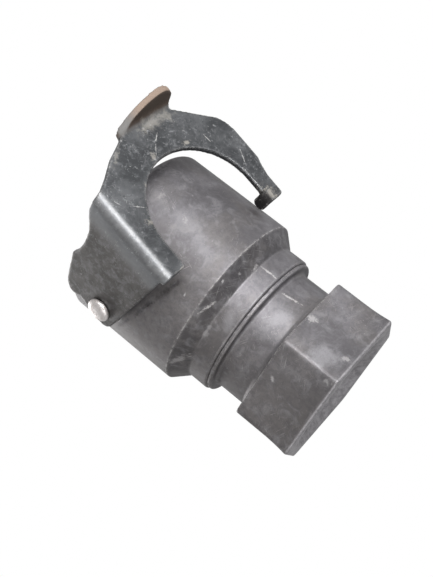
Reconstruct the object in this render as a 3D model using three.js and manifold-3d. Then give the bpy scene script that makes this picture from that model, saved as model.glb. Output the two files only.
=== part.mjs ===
// Quick disconnect coupler: a female-thread socket with a swing yoke latch.
// Millimetres, +Z up. The coupler stands on its hexagonal thread end, mouth upwards.
// The yoke swings about the X axis through its shoulder rivet, near the mouth.

import * as THREE from "three";
import { mergeVertices } from "three/addons/utils/BufferGeometryUtils.js";
import Module from "manifold-3d";

const wasm = await Module();
wasm.setup();

// ---------- driving dimensions ----------

const GAP = 0.3; // clearance left between neighbouring pieces

const LENGTH = 72; // hexagon end face to mouth face
const BODY_RADIUS = 25.3;
const COLLAR_RADIUS = 21.2;
const NECK_RADIUS = 18.3;
const HEX_ACROSS_FLATS = 41.4;
const HEX_HEIGHT = 16.6;
const HEX_CORNER_DEG = 55; // where one corner of the hexagon points, from +X towards +Y

const SEAM_Z = 28; // where the adapter's flange meets the socket body
const COLLAR_TOP_Z = 33.8;
const SHOULDER_TOP_Z = 38.1;

const SOCKET_BORE = 18.2; // radius of the hole the plug goes into
const SOCKET_FLOOR_Z = 50;
const THROAT_RADIUS = 10;
const SEAT_TOP_Z = 48;
const SEAT_BOTTOM_Z = 44;
const CHAMBER_RADIUS = 15;
const SPIGOT_RADIUS = 17; // threaded spigot of the adapter inside the socket body
const SPIGOT_TOP_Z = 37.7;
const ADAPTER_BORE = 13.4;
const PORT_RADIUS = 15.2; // pipe thread at the hexagon end
const PORT_DEPTH = 18;
const GUIDE_LEDGE_Z = 20.2;

const SHEET = 1.7; // thickness of the yoke's steel
const BEND_RADIUS = 2.6; // outside radius of the yoke's bends
const PIVOT_Z = 60;
const PLATE_HEIGHT = 30.9; // pivot axis to the outer face of the yoke's plate
const FLANGE_X = -27.4; // outer face of the yoke's flange
const SLOT_CENTRE_X = -3.2;
const SLOT_RADIUS = 16.9;
const ARM_END = 8; // how far the arms reach past the pivot
const PLATE_RIGHT_X = 19.1;
const REST_TURN_DEG = 107.8; // from the closed position to hanging against the body

const ROUND_SEGMENTS = 64;
const RING_SEGMENTS = 48;

// ---------- shape helpers ----------

function solid(geometry) {
  const bare = geometry.index ? geometry.toNonIndexed() : geometry.clone();
  bare.deleteAttribute("normal");
  bare.deleteAttribute("uv");
  const merged = mergeVertices(bare, 1e-4);
  return new wasm.Manifold(
    new wasm.Mesh({
      numProp: 3,
      vertProperties: Float32Array.from(merged.attributes.position.array),
      triVerts: Uint32Array.from(merged.index.array),
    }),
  );
}

function geometryOf(manifold) {
  const mesh = manifold.getMesh();
  const geometry = new THREE.BufferGeometry();
  geometry.setAttribute("position", new THREE.BufferAttribute(mesh.vertProperties, 3));
  geometry.setIndex(new THREE.BufferAttribute(mesh.triVerts, 1));
  const flat = geometry.toNonIndexed();
  flat.computeVertexNormals();
  return flat;
}

// A solid turned about the Z axis from a closed outline of [radius, height] pairs.
function turned(outline, segments = ROUND_SEGMENTS) {
  const points = outline.map(([radius, height]) => new THREE.Vector2(radius, height));
  if (THREE.ShapeUtils.area(points) < 0) points.reverse();
  const onAxis = points.some((point) => point.x === 0);
  if (!onAxis) {
    points.push(points[0].clone());
  } else {
    while (points[0].x !== 0 || points[points.length - 1].x !== 0) points.push(points.shift());
  }
  return solid(new THREE.LatheGeometry(points, segments).rotateX(Math.PI / 2));
}

function pillar(radius, bottom, top, segments = ROUND_SEGMENTS) {
  return turned([[0, bottom], [radius, bottom], [radius, top], [0, top]], segments);
}

// A ring of round section, such as an O-ring.
function oRing(name, ringRadius, sectionRadius, height, material) {
  const geometry = new THREE.TorusGeometry(ringRadius, sectionRadius, 12, RING_SEGMENTS);
  return part(name, geometryOf(solid(geometry.translate(0, 0, height))), material);
}

function outlineShape(points) {
  return new THREE.Shape(points.map(([x, y]) => new THREE.Vector2(x, y)));
}

// Prisms of an outline. Each extrudes along one axis, between two places on it.
function prismAlongZ(shape, from, to, curveSegments = 16) {
  const geometry = new THREE.ExtrudeGeometry(shape, { depth: to - from, bevelEnabled: false, curveSegments });
  return solid(geometry.translate(0, 0, from));
}

// The outline is in (Y, Z).
function prismAlongX(shape, from, to, curveSegments = 8) {
  const geometry = new THREE.ExtrudeGeometry(shape, { depth: to - from, bevelEnabled: false, curveSegments });
  const axes = new THREE.Matrix4().makeBasis(
    new THREE.Vector3(0, 1, 0),
    new THREE.Vector3(0, 0, 1),
    new THREE.Vector3(1, 0, 0),
  );
  return solid(geometry.translate(0, 0, from).applyMatrix4(axes));
}

// The outline is in (X, Z), and the prism runs along Y from one place to another.
function prismAlongY(shape, from, to, curveSegments = 8) {
  const geometry = new THREE.ExtrudeGeometry(shape, { depth: to - from, bevelEnabled: false, curveSegments });
  const axes = new THREE.Matrix4().makeBasis(
    new THREE.Vector3(1, 0, 0),
    new THREE.Vector3(0, 0, 1),
    new THREE.Vector3(0, -1, 0),
  );
  return solid(geometry.translate(0, 0, -to).applyMatrix4(axes));
}

function part(name, geometry, material) {
  const mesh = new THREE.Mesh(geometry, material);
  mesh.name = name;
  return mesh;
}

function metal(color, roughness) {
  return new THREE.MeshStandardMaterial({ color, roughness, metalness: 0.8 });
}

const phosphatedSteel = metal(0x5a575e, 0.5);
const yokeSteel = metal(0x52534f, 0.45);
const rivetSteel = metal(0xc9cac8, 0.3);
const springSteel = metal(0xa6a8a8, 0.35);
const brass = metal(0xb08d4a, 0.4);
const blackRubber = new THREE.MeshStandardMaterial({ color: 0x1b1b1c, roughness: 0.85, metalness: 0 });
const paleNylon = new THREE.MeshStandardMaterial({ color: 0xd8d4c6, roughness: 0.6, metalness: 0 });

// ---------- socket body ----------

const SEAL_Z = 53.8; // middle of the socket seal
const SEAL_SECTION = 1.3;
const SEAL_GROOVE_RADIUS = 19.6;
const SEAL_GROOVE_BOTTOM = SEAL_Z - SEAL_SECTION - GAP;
const BACKUP_THICKNESS = 1.2;
const SEAL_GROOVE_TOP = SEAL_Z + SEAL_SECTION + BACKUP_THICKNESS + 3 * GAP;

const RIVET_RADIUS = 2.2;
const RIVET_END_X = -20.4;
const SPOT_FACE_X = -24.4;
const SPOT_FACE_RADIUS = 5.4;

function socketBody() {
  const mouthRounding = 1.8;
  const bottom = SEAM_Z + GAP;
  const outline = [
    [SPIGOT_RADIUS + GAP, bottom],
    [COLLAR_RADIUS - 0.5, bottom],
    [COLLAR_RADIUS, bottom + 0.5],
    [COLLAR_RADIUS, COLLAR_TOP_Z],
    [BODY_RADIUS - 0.3, SHOULDER_TOP_Z - 0.3],
    [BODY_RADIUS, SHOULDER_TOP_Z + 0.3],
  ];
  for (let step = 0; step <= 4; step += 1) {
    const angle = (step / 4) * (Math.PI / 2);
    outline.push([
      BODY_RADIUS - mouthRounding * (1 - Math.cos(angle)),
      LENGTH - mouthRounding * (1 - Math.sin(angle)),
    ]);
  }
  outline.push(
    [SOCKET_BORE + 1.5, LENGTH],
    [SOCKET_BORE, LENGTH - 1.5],
    [SOCKET_BORE, SEAL_GROOVE_TOP],
    [SEAL_GROOVE_RADIUS, SEAL_GROOVE_TOP],
    [SEAL_GROOVE_RADIUS, SEAL_GROOVE_BOTTOM],
    [SOCKET_BORE, SEAL_GROOVE_BOTTOM],
    [SOCKET_BORE, SOCKET_FLOOR_Z],
    [THROAT_RADIUS, SOCKET_FLOOR_Z],
    [THROAT_RADIUS, SEAT_TOP_Z],
    [CHAMBER_RADIUS, SEAT_BOTTOM_Z],
    [CHAMBER_RADIUS, SPIGOT_TOP_Z + GAP],
    [SPIGOT_RADIUS + GAP, SPIGOT_TOP_Z + GAP],
  );
  const rivetHole = pillar(RIVET_RADIUS + GAP, 0, BODY_RADIUS + RIVET_END_X + GAP + 1, 24)
    .rotate([0, 90, 0])
    .translate([-BODY_RADIUS - 1, 0, PIVOT_Z]);
  const spotFace = pillar(SPOT_FACE_RADIUS, 0, BODY_RADIUS + SPOT_FACE_X + 1, 32)
    .rotate([0, 90, 0])
    .translate([-BODY_RADIUS - 1, 0, PIVOT_Z]);
  return turned(outline).subtract(rivetHole).subtract(spotFace);
}

// ---------- hexagonal thread adapter ----------

const ADAPTER_SEAL_Z = 30.8;
const ADAPTER_SEAL_RADIUS = 16.1;
const ADAPTER_SEAL_SECTION = 0.85;
const CIRCLIP_BOTTOM_Z = 22.8;
const CIRCLIP_THICKNESS = 1;

function hexPrism(acrossFlatsBottom, acrossFlatsTop, bottom, top) {
  const cornerFactor = 1 / Math.sqrt(3);
  const geometry = new THREE.CylinderGeometry(
    acrossFlatsTop * cornerFactor,
    acrossFlatsBottom * cornerFactor,
    top - bottom,
    6,
  );
  geometry.rotateX(Math.PI / 2);
  geometry.rotateZ(THREE.MathUtils.degToRad(HEX_CORNER_DEG + 30));
  return solid(geometry.translate(0, 0, (top + bottom) / 2));
}

function hexAdapter() {
  const cornerRadius = HEX_ACROSS_FLATS / Math.sqrt(3);
  const lip = HEX_ACROSS_FLATS + 1.1;
  const lipZ = 0.9;
  const flareTop = 7;
  const hexagon = hexPrism(HEX_ACROSS_FLATS + 0.4, lip, 0, lipZ)
    .add(hexPrism(lip, HEX_ACROSS_FLATS, lipZ - 0.01, flareTop))
    .add(hexPrism(HEX_ACROSS_FLATS, HEX_ACROSS_FLATS, lipZ, HEX_HEIGHT));
  const roundedCorners = turned([
    [0, 0],
    [cornerRadius - 0.3, 0],
    [cornerRadius + 0.4, lipZ],
    [cornerRadius - 0.1, flareTop],
    [cornerRadius - 0.1, HEX_HEIGHT - 0.4],
    [cornerRadius - 0.5, HEX_HEIGHT],
    [0, HEX_HEIGHT],
  ]);
  const seamFlangeHeight = 1.1;
  const flangeBottom = SEAM_Z - seamFlangeHeight;
  const grooveFloor = ADAPTER_SEAL_RADIUS - ADAPTER_SEAL_SECTION - GAP;
  const grooveHalf = ADAPTER_SEAL_SECTION + GAP + 0.05;
  const upper = turned([
    [0, HEX_HEIGHT - 1],
    [NECK_RADIUS + 0.8, HEX_HEIGHT - 1],
    [NECK_RADIUS + 0.8, HEX_HEIGHT],
    [NECK_RADIUS + 0.2, HEX_HEIGHT + 0.4],
    [NECK_RADIUS, HEX_HEIGHT + 1.2],
    [NECK_RADIUS, flangeBottom - 0.4],
    [NECK_RADIUS + 0.5, flangeBottom],
    [COLLAR_RADIUS - 1.2, flangeBottom],
    [COLLAR_RADIUS - 0.9, flangeBottom + 0.3],
    [COLLAR_RADIUS - 0.9, SEAM_Z - 0.3],
    [COLLAR_RADIUS - 1.2, SEAM_Z],
    [SPIGOT_RADIUS, SEAM_Z],
    [SPIGOT_RADIUS, ADAPTER_SEAL_Z - grooveHalf],
    [grooveFloor, ADAPTER_SEAL_Z - grooveHalf],
    [grooveFloor, ADAPTER_SEAL_Z + grooveHalf],
    [SPIGOT_RADIUS, ADAPTER_SEAL_Z + grooveHalf],
    [SPIGOT_RADIUS, SPIGOT_TOP_Z - 0.8],
    [SPIGOT_RADIUS - 0.8, SPIGOT_TOP_Z],
    [0, SPIGOT_TOP_Z],
  ]);
  const passage = turned([
    [0, -1],
    [PORT_RADIUS + 4.2, -1],
    [PORT_RADIUS, 2.7],
    [PORT_RADIUS, PORT_DEPTH],
    [11, PORT_DEPTH],
    [11, GUIDE_LEDGE_Z],
    [ADAPTER_BORE, GUIDE_LEDGE_Z],
    [ADAPTER_BORE, CIRCLIP_BOTTOM_Z - GAP],
    [ADAPTER_BORE + 1, CIRCLIP_BOTTOM_Z - GAP],
    [ADAPTER_BORE + 1, CIRCLIP_BOTTOM_Z + CIRCLIP_THICKNESS + GAP],
    [ADAPTER_BORE, CIRCLIP_BOTTOM_Z + CIRCLIP_THICKNESS + GAP],
    [ADAPTER_BORE, SPIGOT_TOP_Z + 1],
    [0, SPIGOT_TOP_Z + 1],
  ]);
  return hexagon.intersect(roundedCorners).add(upper).subtract(passage);
}

// ---------- yoke latch ----------
// Drawn closed, about the pivot: X across, Z away from the mouth, and the slot opens towards -Y.

const THUMB_BASE_Y = 26.2; // where the thumb tab starts to bend up

// An angle section in (X, Z): a sheet lying at the plate's height, bent down at one end.
function bentSection(bendX, farX, legBottom) {
  const side = Math.sign(farX - bendX);
  const shape = new THREE.Shape();
  const top = PLATE_HEIGHT;
  const centreX = bendX + side * BEND_RADIUS;
  const centreZ = top - BEND_RADIUS;
  const inner = BEND_RADIUS - SHEET;
  const steps = 6;
  const at = (radius, step) => {
    const angle = (step / steps) * (Math.PI / 2);
    return [centreX - side * radius * Math.cos(angle), centreZ + radius * Math.sin(angle)];
  };
  shape.moveTo(bendX, legBottom);
  for (let step = 0; step <= steps; step += 1) shape.lineTo(...at(BEND_RADIUS, step));
  shape.lineTo(farX, top);
  shape.lineTo(farX, top - SHEET);
  for (let step = steps; step >= 0; step -= 1) shape.lineTo(...at(inner, step));
  shape.lineTo(bendX + side * SHEET, legBottom);
  shape.closePath();
  return shape;
}

function plateOutline() {
  const beyond = FLANGE_X - 3;
  const shape = new THREE.Shape();
  const slotLeft = SLOT_CENTRE_X - SLOT_RADIUS;
  const slotRight = SLOT_CENTRE_X + SLOT_RADIUS;
  const slotCentreY = 0.6;
  shape.moveTo(beyond, -ARM_END + 1);
  shape.lineTo(slotLeft - 1.6, -ARM_END + 1);
  shape.quadraticCurveTo(slotLeft, -ARM_END + 1, slotLeft, -ARM_END + 2.6);
  shape.lineTo(slotLeft, slotCentreY);
  shape.absarc(SLOT_CENTRE_X, slotCentreY, SLOT_RADIUS, Math.PI, 0, true);
  shape.lineTo(slotRight, -ARM_END);
  shape.lineTo(PLATE_RIGHT_X - 1.2, -ARM_END);
  shape.quadraticCurveTo(PLATE_RIGHT_X, -ARM_END, PLATE_RIGHT_X, -ARM_END + 1.2);
  shape.lineTo(PLATE_RIGHT_X, -3);
  shape.quadraticCurveTo(PLATE_RIGHT_X + 0.2, 0.5, PLATE_RIGHT_X + 1.6, 3.4);
  shape.lineTo(PLATE_RIGHT_X + 1.6, 12.4);
  shape.quadraticCurveTo(PLATE_RIGHT_X + 1.2, 16, PLATE_RIGHT_X - 0.6, 18.3);
  shape.lineTo(8.4, THUMB_BASE_Y + 0.3);
  shape.lineTo(-10, THUMB_BASE_Y + 0.9);
  shape.lineTo(-12.6, 25.9);
  shape.lineTo(-16.3, 24.3);
  shape.lineTo(-21.1, 21.2);
  shape.lineTo(-24.4, 19.4);
  shape.lineTo(beyond, 17.6);
  shape.closePath();
  return shape;
}

// The flange's edge in (Y, Z). Above the bend it is wide open, so that it trims only the flange.
function flangeOutline() {
  const open = 60;
  const bendZ = PLATE_HEIGHT - BEND_RADIUS;
  const shape = new THREE.Shape();
  shape.moveTo(-open, bendZ);
  shape.lineTo(-6, bendZ);
  shape.lineTo(-5.6, 8);
  shape.lineTo(-5.2, -1.4);
  shape.quadraticCurveTo(-5, -5, -2, -4.8);
  shape.lineTo(0.9, -4.4);
  shape.lineTo(6.2, -3.7);
  shape.quadraticCurveTo(8, -5.6, 9.4, -5.2);
  shape.quadraticCurveTo(11.4, -4.2, 12.2, -1.4);
  shape.lineTo(15, 7.6);
  shape.quadraticCurveTo(13.6, 11, 14.3, 16);
  shape.quadraticCurveTo(14.8, 20, 16.4, 22.4);
  shape.quadraticCurveTo(18.6, 25.6, 18.4, bendZ);
  shape.lineTo(open, bendZ);
  shape.lineTo(open, open);
  shape.lineTo(-open, open);
  shape.closePath();
  return shape;
}

// The thumb tab: a strip that leaves the plate and curls away from the body.
function thumbTab() {
  const sweepDeg = 68;
  const outside = BEND_RADIUS + 1.6;
  const inside = outside - SHEET;
  const reach = 5;
  const steps = 7;
  const centre = [THUMB_BASE_Y, PLATE_HEIGHT - SHEET + outside];
  const at = (radius, step, along = 0) => {
    const angle = THREE.MathUtils.degToRad((step / steps) * sweepDeg);
    return [
      centre[0] + radius * Math.sin(angle) + along * Math.cos(angle),
      centre[1] - radius * Math.cos(angle) + along * Math.sin(angle),
    ];
  };
  const strip = [[THUMB_BASE_Y - 2, PLATE_HEIGHT - SHEET]];
  for (let step = 0; step <= steps; step += 1) strip.push(at(outside, step));
  strip.push(at(outside, steps, reach), at(inside, steps, reach));
  for (let step = steps; step >= 0; step -= 1) strip.push(at(inside, step));
  strip.push([THUMB_BASE_Y - 2, PLATE_HEIGHT]);

  const left = -10.2;
  const right = 7.6;
  const base = PLATE_HEIGHT - SHEET - 1;
  const rim = [
    [left, PLATE_HEIGHT - 0.8],
    [-8.6, 31.3],
    [-6.2, 32.4],
    [-4.5, 33.5],
    [-2.7, 34.4],
    [-0.4, 35.2],
    [2.2, 35.7],
    [4.8, 36],
    [6.8, 35.8],
    [8.6, 35],
    [9.6, 33.5],
    [9.3, 32.1],
    [8.3, 30.9],
    [right, PLATE_HEIGHT - 0.9],
  ];
  const face = outlineShape([[left, base], ...rim, [right, base]]);
  return prismAlongX(outlineShape(strip), left - 1, right + 3).intersect(
    prismAlongY(face, THUMB_BASE_Y - 5, THUMB_BASE_Y + 12),
  );
}

function yokeLatch() {
  const sheet = prismAlongY(bentSection(FLANGE_X, PLATE_RIGHT_X + 5, -12), -12, 32)
    .intersect(prismAlongZ(plateOutline(), -20, 50, 12))
    .intersect(prismAlongX(flangeOutline(), -40, 40, 6));
  const lugX = SLOT_CENTRE_X + SLOT_RADIUS;
  const lugWidth = 3.6;
  const lugBottom = 25;
  const lugCorner = 0.9;
  const lugStock = prismAlongY(bentSection(lugX, lugX + 4, lugBottom), -ARM_END, -ARM_END + lugWidth);
  const lugFace = new THREE.Shape();
  lugFace.moveTo(-ARM_END - 1, PLATE_HEIGHT + 1);
  lugFace.lineTo(-ARM_END - 1, lugBottom + lugCorner);
  lugFace.lineTo(-ARM_END, lugBottom + lugCorner);
  lugFace.lineTo(-ARM_END + lugCorner, lugBottom - 0.01);
  lugFace.lineTo(-ARM_END + lugWidth - lugCorner, lugBottom - 0.01);
  lugFace.lineTo(-ARM_END + lugWidth, lugBottom + lugCorner);
  lugFace.lineTo(-ARM_END + lugWidth + 1, PLATE_HEIGHT + 1);
  lugFace.closePath();
  const lug = lugStock.intersect(prismAlongX(lugFace, lugX - 1, lugX + 6));
  const notch = prismAlongY(
    outlineShape([
      [lugX - 1, PLATE_HEIGHT - SHEET - 1],
      [lugX + BEND_RADIUS, PLATE_HEIGHT - SHEET - 1],
      [lugX + BEND_RADIUS, PLATE_HEIGHT + 1],
      [lugX - 1, PLATE_HEIGHT + 1],
    ]),
    -ARM_END - 1,
    -ARM_END + lugWidth,
  );
  const rivetHole = pillar(RIVET_RADIUS + GAP, 0, SHEET + 4, 24)
    .rotate([0, 90, 0])
    .translate([FLANGE_X - 2, 0, 0]);
  return sheet.add(thumbTab()).subtract(notch).add(lug).subtract(rivetHole);
}

// ---------- pivot ----------

function pivotRivet() {
  const headFace = FLANGE_X - GAP;
  const headRadius = 3.3;
  const headHeight = 1.7;
  const outline = [
    [0, RIVET_END_X],
    [RIVET_RADIUS, RIVET_END_X],
    [RIVET_RADIUS, headFace],
    [headRadius, headFace],
    [headRadius, headFace - 0.5],
    [headRadius * 0.88, headFace - headHeight * 0.62],
    [headRadius * 0.6, headFace - headHeight * 0.92],
    [headRadius * 0.25, headFace - headHeight],
    [0, headFace - headHeight],
  ];
  return turned(outline, 32).rotate([0, 90, 0]).translate([0, 0, PIVOT_Z]);
}

function pivotWasher() {
  const inner = RIVET_RADIUS + GAP;
  const near = SPOT_FACE_X - GAP;
  const far = FLANGE_X + SHEET + GAP;
  const outline = [[inner, far], [4.8, far], [4.8, near], [inner, near]];
  return turned(outline, 32).rotate([0, 90, 0]).translate([0, 0, PIVOT_Z]);
}

// ---------- valve ----------

const HEAD_BOTTOM_Z = 42.2;
const STEM_RADIUS = 2;
const STEM_BOTTOM_Z = 19.5;
const VALVE_SEAL_RADIUS = 11.9;
const VALVE_SEAL_SECTION = 0.9;
const VALVE_SEAL_Z = 44.9;

function valvePoppet() {
  const grooveRadius = VALVE_SEAL_RADIUS - VALVE_SEAL_SECTION - GAP;
  const grooveHalf = VALVE_SEAL_SECTION + GAP;
  return turned([
    [0, STEM_BOTTOM_Z],
    [STEM_RADIUS - 0.5, STEM_BOTTOM_Z],
    [STEM_RADIUS, STEM_BOTTOM_Z + 0.5],
    [STEM_RADIUS, HEAD_BOTTOM_Z - 1],
    [STEM_RADIUS + 1, HEAD_BOTTOM_Z],
    [12.6, HEAD_BOTTOM_Z],
    [12.6, VALVE_SEAL_Z - grooveHalf],
    [grooveRadius, VALVE_SEAL_Z - grooveHalf],
    [grooveRadius, VALVE_SEAL_Z + grooveHalf],
    [grooveRadius + 0.6, VALVE_SEAL_Z + grooveHalf],
    [9.5, 47.4],
    [9.3, 48.2],
    [9.3, 49.6],
    [8.4, 50.4],
    [0, 50.4],
  ], RING_SEGMENTS);
}

const GUIDE_BOTTOM_Z = GUIDE_LEDGE_Z + GAP;
const GUIDE_RIM_TOP_Z = CIRCLIP_BOTTOM_Z - GAP;
const HUB_RADIUS = 3.6;

function valveGuide() {
  const rimOutside = ADAPTER_BORE - GAP;
  const rim = turned([
    [rimOutside - 2, GUIDE_BOTTOM_Z],
    [rimOutside, GUIDE_BOTTOM_Z],
    [rimOutside, GUIDE_RIM_TOP_Z],
    [rimOutside - 2, GUIDE_RIM_TOP_Z],
  ], RING_SEGMENTS);
  let guide = rim.add(pillar(HUB_RADIUS, GUIDE_BOTTOM_Z, GUIDE_RIM_TOP_Z + 2.6, 32));
  const legs = 3;
  const legWidth = 2.4;
  for (let leg = 0; leg < legs; leg += 1) {
    const stock = new THREE.BoxGeometry(rimOutside - 1.4, legWidth, GUIDE_RIM_TOP_Z - GUIDE_BOTTOM_Z);
    stock.translate((rimOutside - 1.4) / 2 + 0.4, 0, (GUIDE_RIM_TOP_Z + GUIDE_BOTTOM_Z) / 2);
    guide = guide.add(solid(stock.rotateZ((leg / legs) * 2 * Math.PI)));
  }
  return guide.subtract(pillar(STEM_RADIUS + GAP, GUIDE_BOTTOM_Z - 1, GUIDE_RIM_TOP_Z + 4, 24));
}

// An internal retaining ring with an open gap and two lug holes.
function retainingRing() {
  const outside = ADAPTER_BORE + 0.6;
  const inside = ADAPTER_BORE - 1.3;
  const top = CIRCLIP_BOTTOM_Z + CIRCLIP_THICKNESS;
  const gapDeg = 26;
  let ring = turned([
    [inside, CIRCLIP_BOTTOM_Z],
    [outside, CIRCLIP_BOTTOM_Z],
    [outside, top],
    [inside, top],
  ], RING_SEGMENTS);
  const gapBox = new THREE.BoxGeometry(8, 6, 4).translate(ADAPTER_BORE, 0, top);
  ring = ring.subtract(solid(gapBox));
  for (const side of [-1, 1]) {
    const angle = THREE.MathUtils.degToRad((side * gapDeg) / 2 + side * 4.5);
    const place = [(inside - 0.1) * Math.cos(angle), (inside - 0.1) * Math.sin(angle), 0];
    const ear = pillar(1.5, CIRCLIP_BOTTOM_Z, top, 20).translate(place);
    const eye = pillar(0.6, CIRCLIP_BOTTOM_Z - 1, top + 1, 16).translate(place);
    ring = ring.add(ear).subtract(eye);
  }
  return ring;
}

// A compression spring: a helix of round wire with flat-ground closed ends.
function valveSpring() {
  const wireRadius = 0.55;
  const coilRadius = 5.2;
  const bottom = GUIDE_RIM_TOP_Z + GAP;
  const top = HEAD_BOTTOM_Z - GAP;
  const turns = 6;
  class Helix extends THREE.Curve {
    getPoint(t) {
      const angle = t * turns * 2 * Math.PI;
      const rise = bottom + wireRadius + t * (top - bottom - 2 * wireRadius);
      return new THREE.Vector3(coilRadius * Math.cos(angle), coilRadius * Math.sin(angle), rise);
    }
  }
  const section = new THREE.Shape();
  const sides = 7;
  for (let side = 0; side < sides; side += 1) {
    const angle = (side / sides) * 2 * Math.PI;
    const point = [wireRadius * Math.cos(angle), wireRadius * Math.sin(angle)];
    if (side === 0) section.moveTo(...point);
    else section.lineTo(...point);
  }
  section.closePath();
  return new THREE.ExtrudeGeometry(section, {
    steps: turns * 16,
    extrudePath: new Helix(),
    bevelEnabled: false,
  });
}

// ---------- assembly ----------

const assembly = new THREE.Group();

assembly.add(part("socket_body", geometryOf(socketBody()), phosphatedSteel));
assembly.add(part("hex_adapter", geometryOf(hexAdapter()), phosphatedSteel));

const yoke = part("yoke_latch", geometryOf(yokeLatch()), yokeSteel);
yoke.position.z = PIVOT_Z;
yoke.rotation.x = THREE.MathUtils.degToRad(REST_TURN_DEG);
assembly.add(yoke);

assembly.add(part("pivot_rivet", geometryOf(pivotRivet()), rivetSteel));
assembly.add(part("pivot_washer", geometryOf(pivotWasher()), springSteel));

assembly.add(oRing("socket_seal", SOCKET_BORE - 0.25, SEAL_SECTION, SEAL_Z, blackRubber));
const backupBottom = SEAL_Z + SEAL_SECTION + GAP;
const backupRing = turned([
  [SOCKET_BORE + 0.1, backupBottom],
  [SEAL_GROOVE_RADIUS - GAP, backupBottom],
  [SEAL_GROOVE_RADIUS - GAP, backupBottom + BACKUP_THICKNESS],
  [SOCKET_BORE + 0.1, backupBottom + BACKUP_THICKNESS],
], RING_SEGMENTS);
assembly.add(part("backup_ring", geometryOf(backupRing), paleNylon));
assembly.add(oRing("adapter_seal", ADAPTER_SEAL_RADIUS, ADAPTER_SEAL_SECTION, ADAPTER_SEAL_Z, blackRubber));

assembly.add(part("valve_poppet", geometryOf(valvePoppet()), brass));
assembly.add(oRing("valve_seal", VALVE_SEAL_RADIUS, VALVE_SEAL_SECTION, VALVE_SEAL_Z, blackRubber));
assembly.add(part("valve_guide", geometryOf(valveGuide()), brass));
assembly.add(part("retaining_ring", geometryOf(retainingRing()), springSteel));
assembly.add(part("valve_spring", valveSpring(), springSteel));

// The origin is under the middle of the bounding box, at the hexagon's end face.
const box = new THREE.Box3().setFromObject(assembly);
const middle = box.getCenter(new THREE.Vector3());
assembly.position.set(-middle.x, -middle.y, -box.min.z);

const coupler = new THREE.Group();
coupler.add(assembly);

export default coupler;
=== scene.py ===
"""Quick disconnect coupler: phosphated socket body, hexagonal thread end and swing yoke latch."""

import math

import bmesh
import bpy
from mathutils import Matrix, Vector


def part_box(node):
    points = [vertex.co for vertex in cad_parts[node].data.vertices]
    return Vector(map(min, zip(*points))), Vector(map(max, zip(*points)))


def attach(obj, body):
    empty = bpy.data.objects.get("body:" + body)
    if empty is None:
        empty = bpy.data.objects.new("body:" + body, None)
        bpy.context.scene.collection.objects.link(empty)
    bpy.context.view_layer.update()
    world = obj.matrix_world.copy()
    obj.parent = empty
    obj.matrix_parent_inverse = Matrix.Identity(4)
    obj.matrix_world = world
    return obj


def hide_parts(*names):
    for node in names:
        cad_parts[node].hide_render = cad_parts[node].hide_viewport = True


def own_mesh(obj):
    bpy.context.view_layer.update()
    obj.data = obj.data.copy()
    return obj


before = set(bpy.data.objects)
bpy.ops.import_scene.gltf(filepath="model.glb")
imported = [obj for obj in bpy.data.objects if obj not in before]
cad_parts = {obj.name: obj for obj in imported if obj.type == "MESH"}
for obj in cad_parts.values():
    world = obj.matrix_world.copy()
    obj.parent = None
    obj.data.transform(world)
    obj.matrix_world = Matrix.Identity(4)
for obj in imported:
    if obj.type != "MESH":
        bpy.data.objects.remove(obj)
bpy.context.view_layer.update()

# ---------- sizes, in millimetres unless a name says otherwise ----------

MM = 0.001
ROUND_COLUMNS = 240
HEX_COLUMNS = 360

body_low, body_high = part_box("socket_body")
AXIS_X = (body_low.x + body_high.x) / 2 / MM
AXIS_Y = (body_low.y + body_high.y) / 2 / MM
LENGTH = body_high.z / MM
BODY_RADIUS = (body_high.x - body_low.x) / 2 / MM

COLLAR_RADIUS = 21.2
NECK_RADIUS = 18.3
SEAM_Z = 28
COLLAR_TOP_Z = 33.8
SHOULDER_TOP_Z = 38.1
SPIGOT_RADIUS = 17
SPIGOT_TOP_Z = 37.7
SOCKET_BORE = 18.2
SOCKET_FLOOR_Z = 50
THROAT_RADIUS = 10
CHAMBER_RADIUS = 15
SEAL_GROOVE_RADIUS = 19.6
SEAL_GROOVE_LOW_Z = 52.2
SEAL_GROOVE_HIGH_Z = 57.2
SEAT_LOW_Z = 44
SEAT_HIGH_Z = 48

HEX_ACROSS_FLATS = 41.4
HEX_LIP = 0.5  # how far the flared end stands out from each flat
HEX_HEIGHT = 16.6
HEX_CORNER = math.radians(55)
PORT_RADIUS = 15.2
PORT_DEPTH = 18
THREAD_PITCH = 2.2
THREAD_DEPTH = 1.2
FUNNEL_WIDTH = 3.1  # the chamfer that leads into the port
FUNNEL_TOP_Z = 2.7
ADAPTER_BORE = 13.4
ADAPTER_GROOVE_RADIUS = 14.95
ADAPTER_GROOVE_LOW_Z = 29.6
ADAPTER_GROOVE_HIGH_Z = 32.0
RING_GROOVE_LOW_Z = 22.5
RING_GROOVE_HIGH_Z = 24.1
RING_GROOVE_DEPTH = 1
STOP_RADIUS = 11  # the ledge between the port and the adapter's bore
STOP_TOP_Z = 20.2

PIVOT_Z = 60
YOKE_REST_TURN = math.radians(107.8)
RIVET_RADIUS = 2.2
SPOT_FACE_X = -24.4
SPOT_FACE_RADIUS = 5.4
PLATE_FACE = 30.9  # the yoke plate's outer face, out from the pivot
FLANGE_FACE = -27.4  # the yoke flange's outer face, across from the axis

# ---------- camera: the photograph's view of the coupler ----------

CAMERA_AZIMUTH = math.radians(-37.98)
CAMERA_ELEVATION = math.radians(-14.14)
CAMERA_ROLL = math.radians(-51.57)
CAMERA_DISTANCE = 247.5
CAMERA_TARGET = Vector((AXIS_X + 0.37, AXIS_Y - 1.31, 43.18))
CAMERA_LENS = 57.15


def direction(azimuth, elevation):
    """The unit vector towards an azimuth, 0 at -Y and turning towards +X, and an elevation."""
    level = math.cos(elevation)
    return Vector((math.sin(azimuth) * level, -math.cos(azimuth) * level, math.sin(elevation)))


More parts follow.
